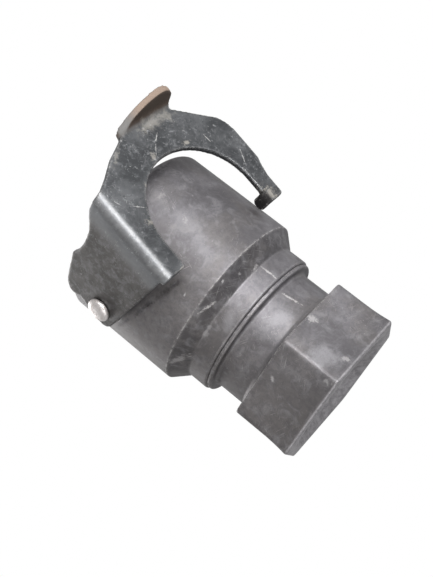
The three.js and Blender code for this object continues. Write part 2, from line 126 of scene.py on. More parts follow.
def facing(back, roll=0.0):
    """A rotation whose -Z axis looks against the direction back."""
    return (-back).to_track_quat("-Z", "Y") @ Matrix.Rotation(roll, 3, "Z").to_quaternion()


def add_camera():
    data = bpy.data.cameras.new("photo_camera")
    data.lens = CAMERA_LENS
    data.sensor_width = 36
    data.clip_start = 0.01
    data.clip_end = 20
    camera = bpy.data.objects.new("photo_camera", data)
    bpy.context.scene.collection.objects.link(camera)
    back = direction(CAMERA_AZIMUTH, CAMERA_ELEVATION)
    camera.location = (CAMERA_TARGET + back * CAMERA_DISTANCE) * MM
    camera.rotation_mode = "QUATERNION"
    camera.rotation_quaternion = facing(back, CAMERA_ROLL)
    bpy.context.scene.camera = camera


add_camera()

# ---------- mesh helpers ----------


def in_coupler(radius, angle, height):
    """A point by its radius, angle and height about the coupler's axis."""
    return (AXIS_X + radius * math.cos(angle), AXIS_Y + radius * math.sin(angle), height)


def mesh_object(name, points, faces, sharp_angle=40):
    mesh = bpy.data.meshes.new(name)
    mesh.from_pydata([Vector(point) * MM for point in points], [], faces)
    work = bmesh.new()
    work.from_mesh(mesh)
    bmesh.ops.remove_doubles(work, verts=work.verts, dist=1e-7)
    bmesh.ops.recalc_face_normals(work, faces=work.faces)
    work.to_mesh(mesh)
    work.free()
    mesh.shade_smooth()
    mesh.set_sharp_from_angle(angle=math.radians(sharp_angle))
    made = bpy.data.objects.new(name, mesh)
    bpy.context.scene.collection.objects.link(made)
    return made


def eased(outline, radius, steps=3, closed=True):
    """The outline with each corner turned into a short curve."""
    points = []
    count = len(outline)
    for index, place in enumerate(outline):
        if not closed and index in (0, count - 1):
            points.append(tuple(place))
            continue
        corner = Vector(place)
        before = Vector(outline[index - 1]) - corner
        after = Vector(outline[(index + 1) % count]) - corner
        cut = min(radius, 0.45 * before.length, 0.45 * after.length)
        start = corner + before.normalized() * cut
        end = corner + after.normalized() * cut
        for step in range(steps + 1):
            t = step / steps
            point = start * (1 - t) ** 2 + corner * 2 * t * (1 - t) + end * t * t
            points.append((point.x, point.y))
    return points


def revolved(name, rows, columns=ROUND_COLUMNS, closed=True, place=in_coupler):
    """A surface about an axis. A row is (radius, height), or a function of the angle that gives both."""
    points = []
    for row in rows:
        for column in range(columns):
            angle = 2 * math.pi * column / columns
            radius, height = row(angle) if callable(row) else row
            points.append(place(radius, angle, height))
    faces = []
    for low in range(len(rows) if closed else len(rows) - 1):
        high = (low + 1) % len(rows)
        for left in range(columns):
            right = (left + 1) % columns
            faces.append((
                low * columns + left,
                low * columns + right,
                high * columns + right,
                high * columns + left,
            ))
    return mesh_object(name, points, faces)


def about_pivot(radius, angle, out):
    """A point about the pivot's axis, which runs along X at PIVOT_Z."""
    return (AXIS_X + out, AXIS_Y + radius * math.cos(angle), PIVOT_Z + radius * math.sin(angle))


def even_normals(piece):
    """Keeps flats and long walls evenly shaded beside their rounded edges."""
    weighted = piece.modifiers.new("even_normals", "WEIGHTED_NORMAL")
    weighted.keep_sharp = True
    weighted.weight = 50


def applied(piece):
    """Turns the piece's modifiers into its mesh."""
    bpy.context.view_layer.update()
    evaluated = piece.evaluated_get(bpy.context.evaluated_depsgraph_get())
    mesh = bpy.data.meshes.new_from_object(evaluated)
    mesh.name = piece.name
    piece.modifiers.clear()
    piece.data = mesh


def cut_away(piece, cutter):
    boolean = piece.modifiers.new("cut", "BOOLEAN")
    boolean.operation = "DIFFERENCE"
    boolean.solver = "EXACT"
    boolean.object = cutter
    applied(piece)
    bpy.data.objects.remove(cutter)


def finish_piece(piece, body, slot, paint, *nodes):
    piece.data.materials.clear()
    piece.data.materials.append(paint)
    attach(piece, body)
    if nodes:
        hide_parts(*nodes)


# ---------- materials ----------


class Paint:
    """A node material whose patterns are measured in millimetres on the object."""

    def __init__(self, name, origin=(0, 0, 0), turn=(0, 0, 0)):
        self.material = bpy.data.materials.new(name)
        self.material.use_nodes = True
        self.tree = self.material.node_tree
        self.shader = self.tree.nodes["Principled BSDF"]
        coordinates = self.node("ShaderNodeTexCoord")
        self.place = self.mapping(
            coordinates.outputs["Object"], "TEXTURE", Vector(origin) * MM, turn, (MM, MM, MM)
        )

    def node(self, kind, **settings):
        made = self.tree.nodes.new(kind)
        for key, value in settings.items():
            setattr(made, key, value)
        return made

    def feed(self, socket, value):
        if isinstance(value, bpy.types.NodeSocket):
            self.tree.links.new(value, socket)
        else:
            socket.default_value = value

    def mapping(self, vector, kind, location=(0, 0, 0), rotation=(0, 0, 0), scale=(1, 1, 1)):
        made = self.node("ShaderNodeMapping", vector_type=kind)
        self.feed(made.inputs["Vector"], vector)
        made.inputs["Location"].default_value = location
        made.inputs["Rotation"].default_value = rotation
        made.inputs["Scale"].default_value = scale
        return made.outputs["Vector"]

    def noise(self, size, detail=4.0, roughness=0.55, distortion=0.0, vector=None):
        """Cloudy noise from 0 to 1 whose blotches are about size millimetres across."""
        made = self.node("ShaderNodeTexNoise")
        self.feed(made.inputs["Vector"], self.place if vector is None else vector)
        made.inputs["Scale"].default_value = 1 / size
        made.inputs["Detail"].default_value = detail
        made.inputs["Roughness"].default_value = roughness
        made.inputs["Distortion"].default_value = distortion
        return made.outputs["Fac"]

    def math(self, operation, first, second=0.0):
        made = self.node("ShaderNodeMath", operation=operation)
        self.feed(made.inputs[0], first)
        self.feed(made.inputs[1], second)
        return made.outputs[0]

    def times(self, first, second):
        return self.math("MULTIPLY", first, second)

    def most(self, first, second):
        return self.math("MAXIMUM", first, second)

    def between(self, value, low, high, start=0.0, end=1.0):
        """Goes smoothly from start to end as value goes from low to high."""
        made = self.node("ShaderNodeMapRange", interpolation_type="SMOOTHSTEP")
        self.feed(made.inputs["Value"], value)
        made.inputs["From Min"].default_value = low
        made.inputs["From Max"].default_value = high
        made.inputs["To Min"].default_value = start
        made.inputs["To Max"].default_value = end
        return made.outputs["Result"]

    def blend(self, first, second, factor):
        made = self.node("ShaderNodeMix", data_type="RGBA")
        self.feed(made.inputs["Factor"], factor)
        self.feed(made.inputs["A"], first)
        self.feed(made.inputs["B"], second)
        return made.outputs["Result"]

    def worn_edges(self, radius, low, high):
        """White on edges, where the rounded normal leaves the true one."""
        bevel = self.node("ShaderNodeBevel", samples=6)
        bevel.inputs["Radius"].default_value = radius * MM
        geometry = self.node("ShaderNodeNewGeometry")
        dot = self.node("ShaderNodeVectorMath", operation="DOT_PRODUCT")
        self.feed(dot.inputs[0], bevel.outputs["Normal"])
        self.feed(dot.inputs[1], geometry.outputs["Normal"])
        return self.between(self.math("SUBTRACT", 1.0, dot.outputs["Value"]), low, high)

    def streaks(self, length, width, turn, low, high, vector=None):
        """Sparse fine scratches of about that length and width, turned in the surface."""
        turned = self.mapping(self.place if vector is None else vector, "TEXTURE", rotation=turn)
        shape = (1 / length, 1 / width, 1 / length)
        stretched = self.mapping(turned, "POINT", scale=shape)
        return self.between(self.noise(1, 2, 0.4, 0.25, stretched), low, high)

    def mark(self, start, end, width, soft, ragged, grain):
        """One stain or scratch from a point to a point, that wide to each side, with a ragged outline."""
        start, end = Vector(start), Vector(end)
        along = end - start
        turn = along.to_track_quat("X", "Z").to_euler() if along.length else (0, 0, 0)
        size = (along.length / 2 + width, width, width)
        local = self.mapping(self.place, "TEXTURE", (start + end) / 2, turn, size)
        length = self.node("ShaderNodeVectorMath", operation="LENGTH")
        self.feed(length.inputs[0], local)
        wander = self.math("SUBTRACT", self.noise(grain, 5, 0.75), 0.5)
        far = self.math("ADD", length.outputs["Value"], self.times(wander, 2 * ragged))
        return self.between(far, 1 - soft, 1, 1.0, 0.0)

    def marks(self, rows, soft, ragged, grain, mask=None):
        """Several marks, each (start, end, width, strength), over a mask made before."""
        for start, end, width, strength in rows:
            made = self.times(self.mark(start, end, width, soft, ragged, grain), strength)
            mask = made if mask is None else self.most(mask, made)
        return mask

    def bump(self, height, depth, strength, below=None):
        """Adds relief of that depth in millimetres, over any relief made before."""
        made = self.node("ShaderNodeBump")
        made.inputs["Strength"].default_value = strength
        made.inputs["Distance"].default_value = depth * MM
        self.feed(made.inputs["Height"], height)
        if below is not None:
            self.feed(made.inputs["Normal"], below)
        return made.outputs["Normal"]

    def round_place(self, radius):
        """Coordinates unrolled about the Z axis: round, along and out."""
        split = self.node("ShaderNodeSeparateXYZ")
        self.feed(split.inputs[0], self.place)
        angle = self.math("ARCTAN2", split.outputs["Y"], split.outputs["X"])
        joined = self.node("ShaderNodeCombineXYZ")
        self.feed(joined.inputs["X"], self.times(angle, radius))
        self.feed(joined.inputs["Y"], split.outputs["Z"])
        return joined.outputs["Vector"]

    def dress(self, colour, roughness, metallic, normal=None):
        self.feed(self.shader.inputs["Base Color"], colour)
        self.feed(self.shader.inputs["Roughness"], roughness)
        self.feed(self.shader.inputs["Metallic"], metallic)
        if normal is not None:
            self.feed(self.shader.inputs["Normal"], normal)
        return self.material


def rgb(red, green, blue):
    return (red, green, blue, 1.0)


COUPLER_ORIGIN = (AXIS_X, AXIS_Y, 0)
YOKE_ORIGIN = (AXIS_X, AXIS_Y, PIVOT_Z)

# Marks are (start, end, half width, strength), about the coupler's axis at its hexagonal end.
# Most places are a separate ray-casting script's numbers, rounded, some of them then shifted by hand.
SOCKET_PALE = (
    ((-7, -24.3, 52), (-7, -24.3, 58), 5, 0.3),
    ((-6.2, -24.5, 64.4), (-6.2, -24.5, 64.4), 4, 0.2),
    ((-9.6, -23.4, 44.7), (-8, -24, 50), 4, 0.25),
    ((-16.7, -13.1, 30.1), (-14, -16, 30.5), 2.4, 0.4),
)
SOCKET_DUST = (
    ((-6.9, -24.3, 55.2), (-6.8, -24.3, 54.2), 0.9, 0.5),
    ((-5.9, -24.6, 64.4), (-5.6, -24.6, 63.9), 1.1, 0.4),
    ((-24.4, 2.0, 37.0), (-22.5, -0.3, 35.2), 1.7, 0.6),
    ((-2.0, -21.5, 34.3), (-3.6, -21.2, 34.2), 0.7, 0.8),
    ((-18.1, -11.4, 33.6), (-19.6, -8.4, 33.6), 0.7, 0.35),
    ((-24.9, 4.4, 53.7), (-25.2, 1.5, 52), 1.2, 0.35),
    ((-12.2, -21.2, 37.3), (-12.2, -21.2, 37.3), 0.5, 0.8),
    ((-7.6, -21.7, 35.7), (-7.6, -21.7, 35.7), 0.5, 0.8),
    ((-19.4, -16.3, 42.4), (-19.1, -16.6, 42.5), 0.28, 0.8),
)
SOCKET_SCRATCHES = (
    ((-19.6, -14.5, 37.2), (-15.1, -17.4, 35.6), 0.5, 0.9),
    ((-0.8, -21.2, 33.4), (-0.9, -21.2, 28.4), 0.4, 0.9),
)
# Painted shadows: dark lines on the body along the yoke flange's lower edge, and a dark patch on the
# mouth's rounding under the yoke plate.
SOCKET_PAINTED_SHADOWS = (
    ((-24.5, 6.2, 55.5), (-25.1, -2.8, 51.6), 0.9, 1.0),
    ((-25.1, -2.8, 51.6), (-22.5, -11.5, 48.0), 1.1, 1.0),
    ((-22.5, -11.5, 48.0), (-17.2, -18.6, 45.2), 1.2, 0.7),
    ((-4.0, -24.8, 69.8), (6.0, -24.2, 71.2), 2.6, 1.0),
)
HEX_PALE = (
    ((-11, -19.4, 9), (-9, -19.8, 5), 5, 0.6),
    ((-9, -16, 22), (-6, -17.3, 22), 5, 0.35),
)
HEX_DUST = (
    ((-4.1, -20.4, 15.8), (-3.2, -20.4, 14.6), 1.2, 0.9),
    ((-6.9, -20.5, 2.5), (-6.7, -20.5, 2.2), 0.8, 0.8),
    ((-14.2, -18.6, 1.6), (-14.6, -18.2, 2.6), 0.9, 0.6),
    ((-17.8, -10.9, 13.9), (-18.0, -10.4, 13.5), 0.5, 0.7),
)
HEX_SCRATCHES = (
    ((-1.2, -18.2, 26.6), (-0.2, -18.3, 19.6), 0.42, 0.9),
)

# The yoke's marks are about the pivot, as it is drawn closed: across, along the plate and up.
FILLET_DUST = (
    ((-4.5, 26.3, 31), (6.2, 25.9, 31), 2.4, 0.55),
    ((5.6, 27.2, 31), (6.0, 24.6, 31), 1.8, 0.5),
)
YOKE_STAINS = (
    ((4.2, 17.2, PLATE_FACE), (5.6, 16.9, PLATE_FACE), 0.7, 0.75),
    ((-20.2, 6.9, PLATE_FACE), (-19.5, 5.9, PLATE_FACE), 0.9, 0.6),
    ((-13.7, 14.6, PLATE_FACE), (-13.9, 12.6, PLATE_FACE), 0.5, 0.8),
    ((-6.6, 18.2, PLATE_FACE), (-6.0, 19.6, PLATE_FACE), 0.8, 0.6),
    ((-12.6, 25.4, PLATE_FACE), (-17.0, 22.4, PLATE_FACE), 0.7, 0.4),
    ((13.6, -4.6, PLATE_FACE), (15.6, -6.8, PLATE_FACE), 2.4, 0.7),
    ((-22.6, -7.0, 30.5), (-19.8, -6.6, PLATE_FACE), 0.5, 0.5),
)
# Painted shade: the bent lug at the arm's tip, darkened nearly to black.
LUG_PAINTED_SHADE = (
    ((15.7, -6.2, 28.2), (15.7, -6.2, 24.5), 4.5, 1.0),
)
# Darker patches on the flange's outer face.
FLANGE_DARK_PATCHES = (
    ((FLANGE_FACE, 5.5, 13.5), (FLANGE_FACE, 3.5, 10.5), 5.5, 0.7),
    ((FLANGE_FACE, 11.0, 20.0), (FLANGE_FACE, 8.0, 15.0), 3.5, 0.5),
)
YOKE_SCRATCHES = (
    ((-0.2, 23.4, PLATE_FACE), (-2.8, 21.5, PLATE_FACE), 0.2, 1.0),
    ((-2.8, 21.5, PLATE_FACE), (-5.6, 18.4, PLATE_FACE), 0.16, 0.8),
    ((-21.1, 12.2, PLATE_FACE), (-17.9, 9.7, PLATE_FACE), 0.16, 0.9),
    ((17.6, 8.4, PLATE_FACE), (15.3, 3.6, PLATE_FACE), 0.2, 0.9),
    ((11.0, 16.6, PLATE_FACE), (11.3, 13.4, PLATE_FACE), 0.16, 0.8),
    ((-24.0, 15.6, PLATE_FACE), (-23.2, 13.8, PLATE_FACE), 0.14, 0.7),
)

PHOSPHATE_DARK = rgb(0.092, 0.087, 0.093)
PHOSPHATE = rgb(0.190, 0.183, 0.195)
PHOSPHATE_PALE = rgb(0.33, 0.325, 0.34)
PAINTED_LIT_END = rgb(0.46, 0.445, 0.465)
BROWN_TONE_AND_SHADE = rgb(0.155, 0.142, 0.134)
# Near black for the darker shoulder patches and the painted shadows.
SHOULDER_AND_SHADOW_DARK = rgb(0.030, 0.027, 0.029)
BARE_STEEL = rgb(0.62, 0.60, 0.59)
DUST = rgb(0.34, 0.33, 0.33)
UNROLLED_RADIUS = 22  # about the middle of the turned surfaces, for scratches that run round them


def phosphated_paint(name, pale_marks, dust_marks, scratches, painted_shadow_marks=(), dark_above=200):
    """Worn grey phosphate: cloudy crystals, pale scuffs, bright edges and dust, plus painted shade on the
    -X side and towards the mouth, painted shadow marks and a painted-light end.
    """
    paint = Paint(name, COUPLER_ORIGIN)
    split = paint.node("ShaderNodeSeparateXYZ")
    paint.feed(split.inputs[0], paint.place)
    clouds = paint.between(paint.noise(15, 5, 0.55, 0.3), 0.3, 0.7)
    patches = paint.between(paint.noise(3.2, 5, 0.65, 0.6), 0.46, 0.76)
    grain = paint.noise(0.3, 3, 0.7)
    colour = paint.blend(PHOSPHATE_DARK, PHOSPHATE, paint.between(clouds, 0, 1, 0.25, 1.0))
    brown_tone_and_side_shade = paint.between(paint.noise(11, 4, 0.6), 0.44, 0.62)
    # Painted shade: the side towards -X is tinted browner and darker; the brown noise above is the metal's
    # own tone.
    painted_shade_side = paint.between(split.outputs["X"], -8, -21)
    brown_tone_and_side_shade = paint.most(paint.times(brown_tone_and_side_shade, 0.45), paint.times(painted_shade_side, 0.6))
    colour = paint.blend(colour, BROWN_TONE_AND_SHADE, brown_tone_and_side_shade)
    round_about = paint.mapping(paint.place, "POINT", scale=(1, 1, 0))
    off_axis = paint.node("ShaderNodeVectorMath", operation="LENGTH")
    paint.feed(off_axis.inputs[0], round_about)
    # Painted light: the end face and the port's funnel are made pale, as if lit.
    end_face = paint.between(split.outputs["Z"], 0.9, 0.3)
    funnel_rim = PORT_RADIUS + FUNNEL_WIDTH
    funnel = paint.times(
        paint.between(off_axis.outputs["Value"], funnel_rim + 0.4, funnel_rim),
        paint.between(split.outputs["Z"], FUNNEL_TOP_Z + 0.6, FUNNEL_TOP_Z - 0.2),
    )
    painted_lit_end = paint.times(paint.most(end_face, funnel), paint.between(clouds, 0, 1, 0.7, 1.0))
    colour = paint.blend(colour, PAINTED_LIT_END, painted_lit_end)
    # Darker patches on the shoulder cone, broken by noise, with the painted shadow marks laid over them.
    shoulder_band_and_shadow = paint.times(
        paint.between(split.outputs["Z"], COLLAR_TOP_Z - 0.4, COLLAR_TOP_Z + 0.4),
        paint.between(split.outputs["Z"], SHOULDER_TOP_Z + 0.2, SHOULDER_TOP_Z - 0.6),
    )
    shoulder_band_and_shadow = paint.times(shoulder_band_and_shadow, paint.between(paint.noise(4, 4, 0.7), 0.38, 0.58, 0.15, 0.6))
    shoulder_band_and_shadow = paint.marks(painted_shadow_marks, 0.9, 1.0, 1.5, shoulder_band_and_shadow)
    colour = paint.blend(colour, SHOULDER_AND_SHADOW_DARK, shoulder_band_and_shadow)
    mottle = paint.between(paint.noise(1.6, 4, 0.7, 0.4), 0.38, 0.64)
    colour = paint.blend(colour, PHOSPHATE_DARK, paint.times(mottle, 0.45))
    # Painted shade: darker towards the mouth end, from dark_above upwards.
    shade = paint.between(split.outputs["Z"], dark_above, dark_above + 12)
    colour = paint.blend(colour, PHOSPHATE_DARK, paint.times(shade, 0.55))
    pale = paint.marks(pale_marks, 1.0, 1.6, 5.0, paint.times(patches, 0.42))
    colour = paint.blend(colour, PHOSPHATE_PALE, pale)
    colour = paint.blend(colour, PHOSPHATE_DARK, paint.times(paint.between(grain, 0.45, 0.75), 0.3))
    dust = paint.times(paint.between(paint.noise(5.5, 6, 0.7, 0.8), 0.62, 0.8), 0.3)
    specks = paint.times(
        paint.between(paint.noise(0.5, 2, 0.5), 0.69, 0.76),
        paint.between(paint.noise(7, 3, 0.6), 0.52, 0.64),
    )
    dust = paint.most(dust, paint.times(specks, 0.7))
    dust = paint.marks(dust_marks, 0.8, 2.4, 1.1, dust)
    edges = paint.worn_edges(0.9, 0.008, 0.06)
    broken = paint.between(paint.noise(1.3, 4, 0.75), 0.4, 0.58)
    bright = paint.times(paint.times(edges, broken), 0.8)
    unrolled = paint.round_place(UNROLLED_RADIUS)
    sparse = paint.between(paint.noise(9, 2, 0.5), 0.5, 0.62)
    for length, width, turn in ((3.5, 0.16, 0.35), (4.5, 0.14, -0.5), (3, 0.13, 1.25)):
        lines = paint.streaks(length, width, (0, 0, turn), 0.67, 0.73, unrolled)
        bright = paint.most(bright, paint.times(paint.times(lines, sparse), 0.4))
    bright = paint.marks(scratches, 0.8, 1.6, 0.6, bright)
    colour = paint.blend(colour, DUST, dust)
    colour = paint.blend(colour, BARE_STEEL, paint.times(bright, 0.7))
    roughness = paint.between(patches, 0, 1, 0.52, 0.6)
    roughness = paint.math("ADD", roughness, paint.times(dust, 0.3))
    metallic = paint.math("SUBTRACT", 0.6, paint.times(dust, 0.5))
    normal = paint.bump(grain, 0.02, 0.5)
    normal = paint.bump(paint.noise(2.2, 4, 0.6), 0.05, 0.35, normal)
    return paint.dress(colour, roughness, metallic, normal)


YOKE_DARK = rgb(0.040, 0.042, 0.045)
YOKE_GREY = rgb(0.094, 0.097, 0.102)
YOKE_PALE = rgb(0.24, 0.245, 0.255)
YOKE_BROWN = rgb(0.092, 0.083, 0.078)
FLANGE_DARK = rgb(0.034, 0.030, 0.027)
PAINTED_SHADE_BLACK = rgb(0.006, 0.005, 0.005)
YOKE_DUST = rgb(0.25, 0.235, 0.21)
RUST_BROWN = rgb(0.030, 0.017, 0.009)
WORN_BEIGE = rgb(0.215, 0.160, 0.125)
WORN_GREY = rgb(0.13, 0.127, 0.124)
YOKE_SCRATCH = rgb(0.55, 0.54, 0.53)


def yoke_paint():
    """The yoke's sheet steel: dark oil finish with scratches, worn rims and a rusty thumb tab, with painted
    shade on the lug and a painted highlight along the bend.
    """
    paint = Paint("yoke_sheet_steel", YOKE_ORIGIN, (YOKE_REST_TURN, 0, 0))
    split = paint.node("ShaderNodeSeparateXYZ")
    paint.feed(split.inputs[0], paint.place)
    across, along, up = (split.outputs[axis] for axis in "XYZ")
    clouds = paint.between(paint.noise(9, 5, 0.65, 0.5), 0.36, 0.66)
    fine = paint.noise(0.3, 3, 0.7)
    colour = paint.blend(YOKE_DARK, YOKE_GREY, clouds)
    blotches = paint.between(paint.noise(2.0, 5, 0.7, 0.8), 0.5, 0.75)
    colour = paint.blend(colour, YOKE_PALE, paint.times(blotches, 0.4))
    chips = paint.between(paint.noise(1.1, 4, 0.7, 0.5), 0.55, 0.68)
    chips = paint.times(chips, paint.between(paint.noise(6, 3, 0.6), 0.4, 0.58))
    colour = paint.blend(colour, YOKE_PALE, paint.times(chips, 0.6))
    pits = paint.between(paint.noise(0.9, 3, 0.7), 0.42, 0.3)
    colour = paint.blend(colour, YOKE_DARK, paint.times(pits, 0.7))
    flange = paint.between(up, 27.5, 22)
    colour = paint.blend(colour, YOKE_BROWN, paint.times(flange, 0.7))
    # Darker patches over the flange, stronger further below the bend.
    flange_darkening = paint.between(paint.noise(5, 5, 0.7, 0.6), 0.4, 0.6)
    flange_darkening = paint.times(flange_darkening, paint.between(up, 24, 19, 0, 0.6))
    flange_darkening = paint.marks(FLANGE_DARK_PATCHES, 1.0, 1.4, 4, flange_darkening)
    colour = paint.blend(colour, FLANGE_DARK, flange_darkening)
    film = paint.times(paint.between(paint.noise(2.0, 5, 0.75, 0.4), 0.44, 0.66), flange)
    colour = paint.blend(colour, YOKE_PALE, paint.times(film, 0.35))
    # Painted sheen: a paler band on the flange just below the bend.
    bend_sheen_band = paint.times(paint.between(up, 21.5, 25), paint.between(across, -24.5, -26.5))
    colour = paint.blend(colour, YOKE_PALE, paint.times(bend_sheen_band, 0.4))
    # Painted highlight: a pale broken line along the bend.
    painted_bend_highlight = paint.between(paint.math("SUBTRACT", up, across), 55.2, 56.4)
    painted_bend_highlight = paint.times(painted_bend_highlight, paint.between(paint.noise(1.8, 4, 0.7), 0.36, 0.6, 0.3, 1))
    colour = paint.blend(colour, YOKE_SCRATCH, paint.times(painted_bend_highlight, 0.12))
    thumb = paint.times(paint.between(along, 26.6, 28.4), paint.between(up, 28.6, 29.4))
    colour = paint.blend(colour, RUST_BROWN, paint.times(thumb, 0.92))
    dust = paint.marks(FILLET_DUST, 1.0, 1.5, 1.6)
    dust = paint.marks(YOKE_STAINS, 0.7, 2.2, 0.9, dust)
    colour = paint.blend(colour, YOKE_DUST, dust)
    # Painted shade on the lug at the arm's tip.
    lug_painted_shade = paint.times(paint.marks(LUG_PAINTED_SHADE, 0.3, 0.6, 2), paint.between(up, 30.8, 30.2))
    colour = paint.blend(colour, PAINTED_SHADE_BLACK, lug_painted_shade)
    edges = paint.worn_edges(0.9, 0.005, 0.05)
    broken = paint.between(paint.noise(1.6, 4, 0.75), 0.38, 0.58)
    bright = paint.times(paint.times(edges, broken), 0.9)
    sparse = paint.between(paint.noise(6, 3, 0.6), 0.46, 0.6)
    for length, width, turn in ((2.2, 0.2, 0.7), (1.8, 0.18, -0.85)):
        lines = paint.streaks(length, width, (0, 0, turn), 0.69, 0.77)
        bright = paint.most(bright, paint.times(paint.times(lines, sparse), 0.6))
    specks = paint.times(paint.between(paint.noise(0.55, 3, 0.6), 0.64, 0.74), sparse)
    bright = paint.most(bright, paint.times(specks, 0.8))
    bright = paint.marks(YOKE_SCRATCHES, 0.8, 1.6, 0.6, bright)
    bright = paint.times(bright, paint.between(thumb, 0, 1, 1, 0.15))
    coordinates = paint.node("ShaderNodeTexCoord")
    outward = paint.mapping(coordinates.outputs["Normal"], "TEXTURE", rotation=(YOKE_REST_TURN, 0, 0))
    outward_parts = paint.node("ShaderNodeSeparateXYZ")
    paint.feed(outward_parts.inputs[0], outward)
    beside = paint.math("ABSOLUTE", outward_parts.outputs["Y"])
    tab_rim = paint.times(paint.between(beside, 0.75, 0.45), paint.between(up, 30.2, 30.9))
    tab_rim = paint.times(tab_rim, paint.between(along, 26.6, 28.4))
    rim_colour = paint.blend(WORN_GREY, WORN_BEIGE, paint.between(up, 32, 34.8))
    colour = paint.blend(colour, YOKE_SCRATCH, paint.times(bright, 0.65))
    colour = paint.blend(colour, rim_colour, paint.times(tab_rim, 0.9))
    roughness = paint.between(blotches, 0, 1, 0.5, 0.58)
    rough_spots = paint.most(paint.most(thumb, dust), lug_painted_shade)
    roughness = paint.math("ADD", roughness, paint.times(rough_spots, 0.3))
    metallic = paint.math("SUBTRACT", 0.75, paint.times(rough_spots, 0.65))
    normal = paint.bump(fine, 0.015, 0.5)
    normal = paint.bump(paint.noise(2.5, 4, 0.6), 0.06, 0.4, normal)
    return paint.dress(colour, roughness, metallic, normal)


def bare_metal_paint(name, colour, tarnish, roughness=0.3):
    """A bright turned or drawn metal with fine lines, tarnish in patches and small nicks."""
    paint = Paint(name, COUPLER_ORIGIN)
    patches = paint.between(paint.noise(2.6, 5, 0.65, 0.5), 0.42, 0.68)
    lines = paint.noise(1, 2, 0.5, 0.0, paint.mapping(paint.place, "POINT", scale=(0.6, 0.6, 9)))
    shade = paint.blend(colour, tarnish, paint.times(patches, 0.6))
    shade = paint.blend(shade, tarnish, paint.times(paint.between(lines, 0.5, 0.7), 0.25))
    gloss = paint.between(patches, 0, 1, roughness, roughness + 0.2)
    normal = paint.bump(lines, 0.01, 0.4)
    normal = paint.bump(paint.noise(0.8, 3, 0.6), 0.03, 0.4, normal)
    return paint.dress(shade, gloss, 0.95, normal)


def rubber_paint(name, colour, pale, roughness=0.55):
    paint = Paint(name, COUPLER_ORIGIN)
    bloom = paint.between(paint.noise(3, 5, 0.65), 0.45, 0.7)
    fine = paint.noise(0.25, 3, 0.7)
    shade = paint.blend(colour, pale, paint.times(bloom, 0.5))
    gloss = paint.between(bloom, 0, 1, roughness, roughness + 0.2)
    return paint.dress(shade, gloss, 0.0, paint.bump(fine, 0.02, 0.4))


# ---------- socket body ----------


def socket_shell():
    rounding = 1.8
    low = SEAM_Z + 0.02
    outline = [
        (SPIGOT_RADIUS + 0.3, low),
        (COLLAR_RADIUS - 0.4, low),
        (COLLAR_RADIUS, low + 0.35),
        (COLLAR_RADIUS, COLLAR_TOP_Z),
        (BODY_RADIUS, SHOULDER_TOP_Z),
    ]
    mouth = []
    for step in range(9):
        angle = step / 8 * math.pi / 2
        mouth.append((
            BODY_RADIUS - rounding * (1 - math.cos(angle)),
            LENGTH - rounding * (1 - math.sin(angle)),
        ))
    inside = [
        (SOCKET_BORE + 1.5, LENGTH),
        (SOCKET_BORE, LENGTH - 1.5),
        (SOCKET_BORE, SEAL_GROOVE_HIGH_Z),
        (SEAL_GROOVE_RADIUS, SEAL_GROOVE_HIGH_Z),
        (SEAL_GROOVE_RADIUS, SEAL_GROOVE_LOW_Z),
        (SOCKET_BORE, SEAL_GROOVE_LOW_Z),
        (SOCKET_BORE, SOCKET_FLOOR_Z),
        (THROAT_RADIUS, SOCKET_FLOOR_Z),
        (THROAT_RADIUS, SEAT_HIGH_Z),
        (CHAMBER_RADIUS, SEAT_LOW_Z),
        (CHAMBER_RADIUS, SPIGOT_TOP_Z + 0.3),
        (SPIGOT_RADIUS + 0.3, SPIGOT_TOP_Z + 0.3),
    ]
    outline = eased(outline, 0.35, 4, closed=False) + mouth + eased(inside, 0.2, 3, closed=False)
    shell = revolved("socket_shell", outline)
    spot = [(0, -30), (SPOT_FACE_RADIUS, -30), (SPOT_FACE_RADIUS, SPOT_FACE_X), (0, SPOT_FACE_X)]
    cut_away(shell, revolved("spot_cutter", spot, 96, False, about_pivot))
    hole = [(0, -30), (RIVET_RADIUS + 0.3, -30), (RIVET_RADIUS + 0.3, -20.1), (0, -20.1)]
    cut_away(shell, revolved("hole_cutter", hole, 48, False, about_pivot))
    shell.data.shade_smooth()
    shell.data.set_sharp_from_angle(angle=math.radians(40))
    even_normals(shell)
    return shell


socket_paint = phosphated_paint(
    "socket_phosphate", SOCKET_PALE, SOCKET_DUST, SOCKET_SCRATCHES, SOCKET_PAINTED_SHADOWS, 58
)
finish_piece(socket_shell(), "coupler", "phosphated_steel", socket_paint, "socket_body")

# ---------- hexagonal thread end ----------


def hexagon_radius(angle, across_flats):
    """The hexagon's radius at an angle, with its corners a little rounded."""
    sharpness = 90
    total = 0.0
    for side in range(6):
        flat = HEX_CORNER + math.radians(30 + 60 * side)
        facing_it = math.cos(angle - flat)
        if facing_it > 0.5:
            total += (facing_it / (across_flats / 2)) ** sharpness
    return total ** (-1 / sharpness)


def softer(first, second, reach=0.35):
    """The smaller of two lengths, rounded over where they meet."""
    share = max(0.0, min(1.0, 0.5 + (second - first) / (2 * reach)))
    return second + (first - second) * share - reach * share * (1 - share)


def hexagon_row(height, lip, turned_radius, inset=0.0):
    def row(angle):
        flat = hexagon_radius(angle, HEX_ACROSS_FLATS + 2 * lip)
        return softer(flat, turned_radius) - inset, height
    return row


def thread_row(height):
    """The port's wall at one height: a V-shaped helical thread that fades out at both ends."""
    fade = min(1.0, max(0.0, (height - FUNNEL_TOP_Z) / 1.5), max(0.0, (PORT_DEPTH - 1.2 - height) / 2.4))
    funnel = max(0.0, FUNNEL_WIDTH * (1 - height / FUNNEL_TOP_Z))

    def row(angle):
        turn = (height / THREAD_PITCH - angle / (2 * math.pi)) % 1.0
        groove = min(1.0, max(0.0, 2.2 * (0.5 - abs(turn - 0.5)) - 0.08))
        return PORT_RADIUS + max(THREAD_DEPTH * groove * min(1.0, max(0.0, fade)), funnel), height
    return row


